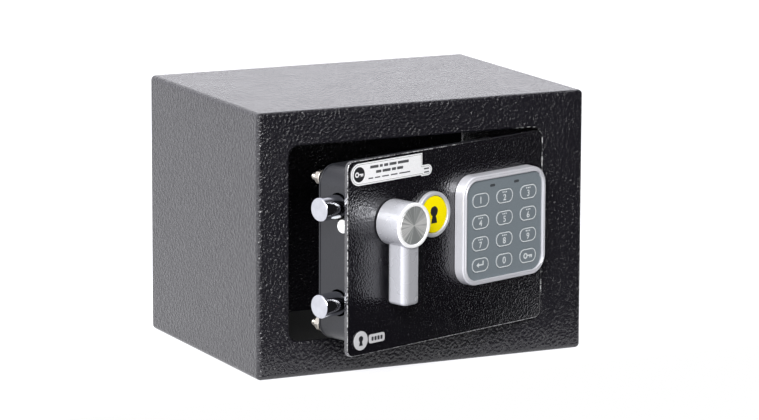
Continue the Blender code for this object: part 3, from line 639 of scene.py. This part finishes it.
def make_bolt_case():
    low, high = door_box("bolt_case")
    size, centre = high - low, (low + high) / 2
    wall, edge = 1.5 * MM, 0.35 * MM
    outside = [(i, size.y - d) for i, d in quarter(edge, 2, True)] + quarter(edge, 2, False)
    inside = [(wall, 0.0), (wall, size.y)]
    case = profiled("bolt_case_skin", centre, size, low.y, 12.0 * MM, outside + inside, 12,
                    loop=True)
    tools = []
    for name, radius in (("bolt_upper", 8.5), ("bolt_lower", 8.5), ("guide_bush", 3.3)):
        at = middle_of(name)
        tools.append(bar((low.x - 4.0 * MM, at.y, at.z), (low.x + 6.0 * MM, at.y, at.z),
                         radius * MM))
    for side, base in (("upper", 97.4 * MM), ("lower", 22.0 * MM)):
        arm = door_box(f"hinge_arm_{side}")
        tools.append(brick((high.x - 8.0 * MM, 9.0 * MM, base - 0.3 * MM),
                           (high.x + 8.0 * MM, arm[1].y + 0.3 * MM, base + 3.3 * MM)))
    combine(case, *tools)
    stand(case, "bolt_case", "case_paint")


def make_rear_cover():
    box = door_box("rear_cover")
    cover = slab("rear_cover_skin", box, 12.0 * MM, 0.3 * MM, 0.6 * MM, 12)
    lid_low, lid_high = door_box("battery_lid")
    gap, back = 0.3 * MM, box[1].y
    tools = [brick((lid_low.x - gap, back - 4.0 * MM, lid_low.z - gap),
                   (lid_high.x + gap, back + 4.0 * MM, lid_high.z + gap), 1.8 * MM)]
    places = [(middle_of("reset_button"), 3.8 * MM)]
    places += [(middle_of(f"cover_stud_{i}"), 2.7 * MM) for i in range(1, 5)]
    for centre, radius in places:
        tools.append(bar((centre.x, back - 4.0 * MM, centre.z),
                         (centre.x, back + 4.0 * MM, centre.z), radius))
    combine(cover, *tools)
    stand(cover, "rear_cover", "case_paint")


def make_battery_lid():
    """The lid has a row of five grip ribs, shorter towards the bottom."""
    low, high = door_box("battery_lid")
    face = 29.8 * MM
    lid = slab("battery_lid_cap", (low, Vector((high.x, face, high.z))), 1.5 * MM, 0.2 * MM,
               0.4 * MM)
    middle = (low.x + high.x) / 2
    ribs = []
    for i in range(5):
        z = high.z - (6.0 + 2.4 * i) * MM
        half = (9.0 - 0.9 * i) * MM
        ribs.append(slab("tool", (Vector((middle - half, face - 0.4 * MM, z - 0.6 * MM)),
                                  Vector((middle + half, face + 1.1 * MM, z + 0.6 * MM))),
                         0.6 * MM, 0.1 * MM, 0.5 * MM, 4, 3))
    combine(lid, *ribs, operation="UNION")
    stand(lid, "battery_lid", "black_plastic")


def make_studs():
    """A threaded stud end with a washer and a chamfered hexagon nut."""
    nut_start, nut_end = 30.9 * MM, 34.9 * MM
    washer, nut_radius = 30.1 * MM, 4.3 * MM
    for i in range(1, 5):
        low, high = door_box(f"cover_stud_{i}")
        centre = (low + high) / 2
        tip, core, crest = high.y, 1.85 * MM, 2.2 * MM
        thread = []
        along = nut_end - 0.6 * MM
        while along < tip - 0.9 * MM:
            thread += [(crest, along), (core, along + 0.35 * MM)]
            along += 0.7 * MM
        profile = [(crest, low.y), (crest, washer), (4.7 * MM, washer),
                   (4.8 * MM, washer + 0.1 * MM), (4.8 * MM, nut_start - 0.15 * MM),
                   (4.6 * MM, nut_start), (crest, nut_start)]
        profile += thread + [(core, tip - 0.5 * MM), (1.4 * MM, tip)]
        stud = revolve(f"cover_stud_{i}_fine", profile, 36)
        nut = revolve("tool", [(nut_radius, nut_start - 0.05 * MM), (nut_radius, nut_end)], 6)
        chamfer = revolve("tool", [(3.7 * MM, nut_start - 0.1 * MM),
                                   (4.4 * MM, nut_start + 0.5 * MM),
                                   (4.4 * MM, nut_end - 0.5 * MM), (3.7 * MM, nut_end)], 36)
        combine(nut, chamfer, operation="INTERSECT")
        combine(stud, nut, operation="UNION")
        stand(stud, f"cover_stud_{i}", "zinc",
              facing((centre.x, 0.0, centre.z), (0.0, 1.0, 0.0)), angle=30.0)


def make_bolts():
    for side in ("upper", "lower"):
        low, high = door_box(f"bolt_{side}")
        radius, length = (high.z - low.z) / 2, high.x - low.x
        edge = 0.9 * MM
        arc = [(radius - edge + edge * math.sin(t), edge - edge * math.cos(t))
               for t in sweep(math.pi / 2, 5)]
        bolt = revolve(f"bolt_{side}_fine", arc + [(radius, length)], 72)
        centre = (low + high) / 2
        stand(bolt, f"bolt_{side}", "chrome",
              facing((low.x, centre.y, centre.z), (1.0, 0.0, 0.0)))


def make_guide_bush():
    low, high = door_box("guide_bush")
    centre, radius = (low + high) / 2, (high.z - low.z) / 2 - 0.5 * MM
    proud = 1.6 * MM
    profile = [(3.0 * MM, -3.0 * MM), (3.0 * MM, 0.3 * MM), (radius, 0.3 * MM),
               (radius, 0.8 * MM), (radius - 0.4 * MM, 1.3 * MM), (radius - 1.0 * MM, proud),
               (1.6 * MM, proud), (1.2 * MM, proud - 0.3 * MM)]
    bush = revolve("guide_bush_fine", profile, 40)
    stand(bush, "guide_bush", "white_nylon",
          facing((low.x + proud, centre.y, centre.z), (-1.0, 0.0, 0.0)))


# ---------------------------------------------------------------- handle and lock cover

def handle_axis():
    """Where the handle's axis meets the plate's front face, in the door's frame."""
    centre = middle_of("spindle")
    return Vector((centre.x, 0.0, centre.z))


def make_lever(axis, box):
    """The fin below the knob, with broad rounded sides and a softly rounded foot."""
    half = 7.2 * MM
    front, back = box[0].y + 1.3 * MM, -2.6 * MM
    foot, edge = box[0].z - axis.z, 2.2 * MM
    corner, rings = 4.4 * MM, []
    levels = [(0.0, 0.0)]
    levels += [(foot + d, i) for i, d in quarter(edge, 4, True)[::-1]]
    for z, inset in levels:
        points = rounded_rectangle(2 * (half - inset), back - front - 2 * inset,
                                   corner - inset, 10)
        rings.append([(axis.x + x, (front + back) / 2 + y, axis.z + z) for x, y in points])
    return loft("tool", rings)


def make_knob():
    axis = handle_axis()
    box = door_box("knob")
    radius, reach = 14.3 * MM, -box[0].y
    rim, edge = 11.9 * MM, 0.9 * MM
    arc = [(radius - edge + edge * math.sin(t), reach - edge + edge * math.cos(t))
           for t in sweep(math.pi / 2, 5)[::-1]]
    lip = 0.5 * MM
    inner = [(rim + lip - lip * math.sin(t), reach - lip + lip * math.cos(t))
             for t in sweep(math.pi / 2, 3)]
    profile = [(radius - 0.4 * MM, 0.6 * MM), (radius, 1.0 * MM)] + arc + inner
    profile += [(rim, reach - 1.8 * MM)]
    knob = revolve("knob_body", profile, 96)
    knob.matrix_world = facing(axis, (0.0, -1.0, 0.0), ROW)
    knob.data.transform(knob.matrix_world)
    knob.matrix_world = ROW
    combine(knob, make_lever(axis, box), operation="UNION")
    end = door_box("spindle")[0].y - 0.3 * MM
    bore = bar(axis + Vector((0.0, 2.0 * MM, 0.0)), axis + Vector((0.0, end, 0.0)), 4.3 * MM)
    combine(knob, bore)
    stand(knob, "knob", "knob_paint", angle=30.0)

    steps = mm((11.55, 1.5), (11.55, 0.75), (11.25, 0.45), (8.0, 0.42), (3.0, 0.38), (0.2, 0.36))
    cap = revolve("knob_cap_fine", [(across, reach - down) for across, down in steps], 96)
    stand(cap, "knob_cap", "spun", facing(axis, (0.0, -1.0, 0.0)))


def prism(name, shapes, y, thickness):
    """Flat shapes in X-Z, each with a thickness, as one mesh with its front at y."""
    bm = bmesh.new()
    for outer, hole in shapes:
        add_shape(bm, outer, hole, y, y + thickness)
    return object_from(bm, name)


def add_shape(bm, outer, hole, front, back):
    """One flat shape; its hole has as many points as its outline."""
    rings = [[bm.verts.new((x, y, z)) for x, z in points]
             for y in (front, back) for points in ([outer, hole] if hole else [outer])]
    count = len(outer)
    if not hole:
        bm.faces.new(rings[0])
        bm.faces.new(reversed(rings[1]))
    for i in range(count):
        j = (i + 1) % count
        if hole:
            front_out, front_in, back_out, back_in = rings
            bm.faces.new((front_out[i], front_out[j], front_in[j], front_in[i]))
            bm.faces.new((back_out[i], back_in[i], back_in[j], back_out[j]))
            bm.faces.new((front_in[i], front_in[j], back_in[j], back_in[i]))
            bm.faces.new((front_out[j], front_out[i], back_out[i], back_out[j]))
        else:
            bm.faces.new((rings[0][j], rings[0][i], rings[1][i], rings[1][j]))


def disc(x, z, radius, steps=36):
    turns = [2 * math.pi * i / steps for i in range(steps)]
    return [(x + radius * math.cos(t), z + radius * math.sin(t)) for t in turns]


def pill(x, z, width, height, radius, steps):
    return [(x + px, z + pz) for px, pz in rounded_rectangle(width, height, radius, steps)]


def keyhole(x, z, size):
    """A plain keyhole: a round top on a flared foot."""
    radius = size * 0.30
    centre = z + size * 0.18
    arc = [(x + radius * math.cos(t), centre + radius * math.sin(t))
           for t in (math.radians(-60 + 300 * i / 24) for i in range(25))]
    return arc + [(x - size * 0.24, z - size * 0.5), (x + size * 0.24, z - size * 0.5)]


def key_sign(x, z, size):
    """A plain key lying down: its bow on the left and two bits at its right end."""
    bow = size * 0.24
    centre = x - size * 0.26
    start = centre + bow
    end = x + size * 0.5
    thick = size * 0.11
    shapes = [(disc(centre, z, bow, 28), disc(centre, z, bow * 0.52, 28))]
    shapes.append((box_points(start - 0.03 * size, end, z - thick / 2, z + thick / 2), None))
    for left in (end - size * 0.12, end - size * 0.30):
        shapes.append((box_points(left, left + size * 0.11, z - size * 0.19, z - thick / 2), None))
    return shapes


def box_points(left, right, low, high):
    return [(right, high), (left, high), (left, low), (right, low)]


def make_lock_cover():
    low, high = door_box("cover_ring")
    centre, outer = (low + high) / 2, (high.z - low.z) / 2
    inner, reach = 11.95 * MM, -low.y
    ring = revolve("lock_cover_ring", ring_profile(inner, outer, 0.3 * MM, reach, 0.75 * MM),
                   96, loop=True)
    stand(ring, "cover_ring", "silver_paint",
          facing((centre.x, 0.0, centre.z), (0.0, -1.0, 0.0)))
    face = -door_box("cover_insert")[0].y
    dome = [(11.65 * MM, 1.8 * MM)]
    dome += [(across, face - down) for across, down in
             mm((11.65, 0.35), (11.3, 0.2), (8.0, 0.08), (4.0, 0.02), (0.3, 0.0))]
    insert = revolve("lock_cover_insert", dome, 96)
    stand(insert, "cover_insert", "yellow",
          facing((centre.x, 0.0, centre.z), (0.0, -1.0, 0.0)))
    stand_print("lock_cover_mark", [(keyhole(centre.x, centre.z, 11.0 * MM), None)],
                -face - 0.03 * MM, 0.2 * MM, "cover_insert", "dark_print")


# ---------------------------------------------------------------- keypad

def make_bezel():
    low, high = door_box("keypad_bezel")
    size, centre = high - low, (low + high) / 2
    depth, reach = 4.0 * MM, size.y
    outside = [(0.0, reach), (0.05 * MM, reach - 1.0 * MM), (0.25 * MM, 1.5 * MM)]
    fillet = [(0.25 * MM + 1.0 * MM * (1 - math.cos(t)), 1.5 * MM - 1.1 * MM * math.sin(t))
              for t in sweep(math.pi / 2, 5)[1:]]
    land = mm((1.75, 0.32), (1.9, 0.5), (2.05, 0.3), (2.3, 0.06), (2.7, 0.0), (3.1, 0.08),
              (3.3, 0.35)) + [(3.35 * MM, depth)]
    behind = [(2.0 * MM, depth), (2.0 * MM, reach)]
    bezel = profiled("keypad_bezel_fine", centre, size, low.y, 12.5 * MM,
                     outside + fillet + land + behind, 16, loop=True)
    stand(bezel, "keypad_bezel", "bezel_paint", angle=40.0)


def make_panel():
    box = door_box("keypad_panel")
    panel = slab("keypad_panel_fine", box, 9.0 * MM, 0.25 * MM, 0.2 * MM, 12)
    holes = []
    for name in KEYS:
        low, high = door_box(f"key_{name}")
        margin = 0.12 * MM
        holes.append(brick((low.x - margin, box[0].y - 3.0 * MM, low.z - margin),
                           (high.x + margin, box[1].y + 3.0 * MM, high.z + margin),
                           4.4 * MM + margin))
    combine(panel, *holes)
    stand(panel, "keypad_panel", "panel_plastic")
    middle = (box[0].x + box[1].x) / 2
    top = (box[0].z + box[1].z) / 2 + 27.4 * MM
    for side, x in (("left", middle - 11.0 * MM), ("right", middle + 11.0 * MM)):
        window = slab(f"led_window_{side}",
                      (Vector((x - 2.3 * MM, box[0].y - 0.12 * MM, top - 0.85 * MM)),
                       Vector((x + 2.3 * MM, box[0].y + 0.2 * MM, top + 0.85 * MM))),
                      0.8 * MM, 0.08 * MM, 0.05 * MM, 5, 2)
        stand(window, "keypad_panel", "led", whole=False)


def digit_shape(digit, x, z, y, height):
    """A digit as a thin mesh standing on a key."""
    curve = bpy.data.curves.new("digit", "FONT")
    curve.body = digit
    curve.size = height / 0.70
    curve.align_x = "CENTER"
    curve.align_y = "CENTER"
    curve.extrude = 0.05 * MM
    curve.offset = 0.07 * MM
    source = new_object("digit", curve)
    bpy.context.view_layer.update()
    mesh = bpy.data.meshes.new_from_object(
        source.evaluated_get(bpy.context.evaluated_depsgraph_get()))
    bpy.data.objects.remove(source, do_unlink=True)
    mesh.transform(Matrix.Translation((x, y, z)) @ Matrix.Rotation(math.pi / 2, 4, "X"))
    return mesh


def return_arrow(x, z, size):
    """A plain return arrow: a head on the left, a shaft, and a short riser at its right end."""
    thick = size * 0.13
    left, right = x - size * 0.5, x + size * 0.42
    head = [(left, z), (left + size * 0.3, z - size * 0.24), (left + size * 0.3, z + size * 0.24)]
    shaft = box_points(left + size * 0.3, right, z - thick / 2, z + thick / 2)
    riser = box_points(right - thick, right, z + thick / 2, z + size * 0.36)
    return [(head, None), (shaft, None), (riser, None)]


def make_keys():
    for name in KEYS:
        node_name = f"key_{name}"
        low, high = door_box(node_name)
        face = low.y + 0.55 * MM
        box = (Vector((low.x, face, low.z)), high)
        cap = slab(f"{node_name}_cap", box, 4.4 * MM, 0.3 * MM, 0.1 * MM, 10, 3)
        stand(cap, node_name, "key_plastic")
        centre, size = (low + high) / 2, high - low
        line, inset = 0.62 * MM, 0.28 * MM
        outer = pill(centre.x, centre.z, size.x - 2 * inset, size.z - 2 * inset,
                     4.2 * MM, 10)
        inner = pill(centre.x, centre.z, size.x - 2 * (inset + line),
                     size.z - 2 * (inset + line), 4.2 * MM - line, 10)
        shapes = [(outer, inner)]
        if name == "enter":
            shapes += return_arrow(centre.x, centre.z, 7.0 * MM)
        if name == "lock":
            shapes += key_sign(centre.x, centre.z, 8.0 * MM)
        if name in "23456789":
            shapes += [(pill(centre.x + i * 1.5 * MM, centre.z + 2.6 * MM, 1.0 * MM, 0.8 * MM,
                             0.2 * MM, 2), None) for i in (-1, 0, 1)]
        mark = prism(f"{node_name}_print", shapes, face - 0.04 * MM, 0.1 * MM)
        if len(name) == 1:
            lettered = name not in "01"
            drop = 1.0 * MM if lettered else 0.1 * MM
            mesh = digit_shape(name, centre.x, centre.z - drop, face,
                               3.9 * MM if lettered else 4.3 * MM)
            bm = bmesh.new()
            bm.from_mesh(mark.data)
            bm.from_mesh(mesh)
            bm.to_mesh(mark.data)
            bm.free()
        stand(mark, node_name, "print", whole=False)


# ---------------------------------------------------------------- labels

def word_bars(left, z, height, words, gap):
    """A line of plain bars that stand where a notice's words would be."""
    shapes = []
    for width in words:
        shapes.append((pill(left + width / 2, z, width, height, height * 0.2, 3), None))
        left += width + gap
    return shapes


def inset(points, distance):
    """The outline moved inwards; it runs anticlockwise as seen from the front."""
    moved = []
    for i, (x, z) in enumerate(points):
        before, after = Vector(points[i - 1]), Vector(points[(i + 1) % len(points)])
        here = Vector((x, z))
        first, second = (here - before).normalized(), (after - here).normalized()
        normals = Vector((-first.y, first.x)), Vector((-second.y, second.x))
        share = max(1.0 + normals[0].dot(normals[1]), 0.3)
        moved.append(tuple(here + (normals[0] + normals[1]) * (distance / share)))
    return moved


def make_notice():
    low, high = door_box("notice_label")
    face = low.y + 0.1 * MM
    tab = low.z + 7.0 * MM
    bottom, right = low.z + 1.0 * MM, low.x + 62.1 * MM
    radius = (high.z - bottom) / 2
    arc = [(low.x + radius + radius * math.cos(t), bottom + radius + radius * math.sin(t))
           for t in (math.radians(90 + 180 * i / 24) for i in range(25))]
    end = 3.4 * MM
    tab_arc = [(high.x - end + end * math.sin(t), tab - end + end * math.cos(t))
               for t in sweep(math.pi, 12)]
    outline = arc + [(right - 0.6 * MM, bottom), (right - 0.6 * MM, low.z + 0.2 * MM)]
    outline += tab_arc[::-1] + [(right, tab), (right, high.z)]
    label = prism("notice_label_foil", [(outline, None)], face, high.y - face)
    stand(label, "notice_label", "label")

    front, thickness = face - 0.02 * MM, 0.05 * MM
    line = (inset(outline, 0.75 * MM), inset(outline, 0.97 * MM))
    stand_print("notice_outline", [line], front, thickness, "notice_label", "grey_print")
    mark_x, middle = low.x + radius + 0.1 * MM, (bottom + high.z) / 2
    stand_print("notice_sign", [(disc(mark_x, middle, 4.75 * MM), None)], front, thickness,
                "notice_label", "dark_print")
    stand_print("notice_sign_key", key_sign(mark_x, middle, 7.0 * MM), front - 0.02 * MM,
                0.04 * MM, "notice_label", "label")
    make_notice_lines(low.x, right, middle, tab, front, thickness)


def make_notice_lines(left, right, middle, tab, front, thickness):
    """Two bold lines, a fine one, and two short ones on the tab."""
    bold = word_bars(left + 16.5 * MM, middle + 3.5 * MM, 1.7 * MM,
                     [w * MM for w in (7.2, 2.6, 3.6, 6.2, 9.6)], 1.1 * MM)
    bold += word_bars(left + 21.5 * MM, middle + 0.1 * MM, 1.7 * MM,
                      [w * MM for w in (4.6, 7.0, 3.6, 5.2)], 1.1 * MM)
    fine = word_bars(left + 15.0 * MM, middle - 3.4 * MM, 0.8 * MM,
                     [w * MM for w in (4.0, 4.6, 6.0, 5.8, 9.6)], 1.6 * MM)
    for drop in (2.4 * MM, 4.6 * MM):
        fine += word_bars(right + 1.6 * MM, tab - drop, 0.9 * MM, [4.4 * MM], 1.0 * MM)
    for weight, shapes in (("bold", bold), ("fine", fine)):
        stand_print(f"notice_lines_{weight}", shapes, front, thickness, "notice_label",
                    "grey_print")


def make_badges():
    low, high = door_box("badge_disc")
    centre, radius = (low + high) / 2, (high.z - low.z) / 2
    face = 0.35 * MM
    profile = [(radius, 0.0), (radius, face - 0.1 * MM), (radius - 0.15 * MM, face),
               (0.2 * MM, face)]
    round_badge = revolve("corner_disc", profile, 64)
    stand(round_badge, "badge_disc", "badge",
          facing((centre.x, high.y, centre.z), (0.0, -1.0, 0.0)))
    front = high.y - face - 0.02 * MM
    stand_print("corner_disc_mark", [(keyhole(centre.x, centre.z, 6.4 * MM), None)], front,
                0.05 * MM, "badge_disc", "dark_print")
    low, high = door_box("badge_bar")
    plate = slab("corner_bar", (Vector((low.x, high.y - face, low.z)), high), 1.6 * MM,
                 0.12 * MM, 0.05 * MM, 6, 2)
    stand(plate, "badge_bar", "badge")
    middle = (low.z + high.z) / 2
    bars = word_bars(low.x + 2.0 * MM, middle, 2.6 * MM, [1.8 * MM] * 4, 0.8 * MM)
    stand_print("corner_bar_mark", bars, front, 0.05 * MM, "badge_bar", "dark_print")


# ---------------------------------------------------------------- stage, light and camera

def make_floor():
    """A pale floor that reaches well behind the safe and only a little in front of it."""
    floor = loft("floor", [[(x, y, z) for x, y in
                            ((-1.6, -0.11), (1.2, -0.11), (1.2, 2.6), (-1.6, 2.6))]
                           for z in (-4.0 * MM, -0.1 * MM)])
    mat, _, shader = blank("pale_floor", (0.25, 0.25, 0.25), 0.7)
    shader.inputs["Emission Color"].default_value = (0.97, 0.97, 1.0, 1.0)
    shader.inputs["Emission Strength"].default_value = 0.92
    floor.data.materials.append(mat)


def make_world():
    """A white studio that is dark in front and to the right, where nothing is lit."""
    world = bpy.data.worlds.new("studio")
    bpy.context.scene.world = world
    world.use_nodes = True
    tree = world.node_tree
    tree.nodes.clear()
    coords = node(tree, "TexCoord")
    towards = Vector((0.74, -0.66, -0.05)).normalized()
    side = node(tree, "VectorMath", {0: coords.outputs["Generated"], 1: towards},
                operation="DOT_PRODUCT")
    fade = node(tree, "MapRange", {"Value": side.outputs["Value"], "From Min": -0.15,
                                   "From Max": 0.42, "To Min": 1.42, "To Max": 0.018},
                interpolation_type="SMOOTHSTEP")
    studio = node(tree, "Background", {"Color": (0.97, 0.965, 1.03, 1.0),
                                       "Strength": fade.outputs["Result"]})
    backdrop = node(tree, "Background", {"Color": (1.0, 1.0, 1.0, 1.0), "Strength": 1.0})
    path = node(tree, "LightPath")
    mixed = node(tree, "MixShader", {0: path.outputs["Is Camera Ray"],
                                     1: studio.outputs[0], 2: backdrop.outputs[0]})
    output = node(tree, "OutputWorld")
    tree.links.new(mixed.outputs[0], output.inputs["Surface"])


def softbox(name, position, aim, size, power, colour=(1.0, 1.0, 1.0)):
    light = bpy.data.lights.new(name, "AREA")
    light.shape = "RECTANGLE"
    light.size, light.size_y = size
    light.energy = power
    light.color = colour
    obj = new_object(name, light)
    obj.location = position
    obj.rotation_euler = (Vector(aim) - Vector(position)).to_track_quat("-Z", "Y").to_euler()
    obj.visible_camera = False


def make_lights():
    middle = (0.0, 0.0, 0.085)
    softbox("key_softbox", (-1.0, -1.7, 1.15), middle, (0.8, 0.8), 62.0)
    softbox("left_softbox", (-1.9, -0.15, 0.45), middle, (1.0, 1.2), 9.0, (0.93, 0.96, 1.0))
    softbox("back_softbox", (1.25, 2.5, 0.75), middle, (2.6, 1.5), 3.5, (1.0, 0.985, 0.97))
    softbox("front_glint", (-0.25, -2.4, 0.65), middle, (0.22, 0.5), 12.0)


CAMERA_AZIMUTH, CAMERA_ELEVATION, CAMERA_ROLL = -25.901, 10.78, 0.202
CAMERA_DISTANCE, CAMERA_LENS = 2.6593, 192.99
CAMERA_AIM = Vector((0.0, 0.0, 0.085))
CAMERA_SHIFT_RIGHT, CAMERA_SHIFT_UP = 0.009466, 0.000701


def make_camera():
    azimuth, elevation = math.radians(CAMERA_AZIMUTH), math.radians(CAMERA_ELEVATION)
    away = Vector((math.sin(azimuth) * math.cos(elevation),
                   -math.cos(azimuth) * math.cos(elevation), math.sin(elevation)))
    right = Vector((math.cos(azimuth), math.sin(azimuth), 0.0))
    up = away.cross(right)
    aim = CAMERA_AIM + right * CAMERA_SHIFT_RIGHT + up * CAMERA_SHIFT_UP
    roll = math.radians(CAMERA_ROLL)
    rolled_right = right * math.cos(roll) + up * math.sin(roll)
    rolled_up = away.cross(rolled_right)
    data = bpy.data.cameras.new("camera")
    data.lens, data.sensor_width = CAMERA_LENS, 36.0
    data.clip_start, data.clip_end = 0.05, 30.0
    camera = new_object("camera", data)
    turn = Matrix((rolled_right, rolled_up, away)).transposed().to_4x4()
    camera.matrix_world = Matrix.Translation(aim + away * CAMERA_DISTANCE) @ turn
    bpy.context.scene.camera = camera


dress_cad_nodes()
make_cabinet()
make_door_plate()
make_bolt_case()
make_rear_cover()
make_battery_lid()
make_studs()
make_bolts()
make_guide_bush()
make_knob()
make_lock_cover()
make_bezel()
make_panel()
make_keys()
make_notice()
make_badges()
make_floor()
make_world()
make_lights()
make_camera()
bpy.context.scene.view_settings.view_transform = "Standard"
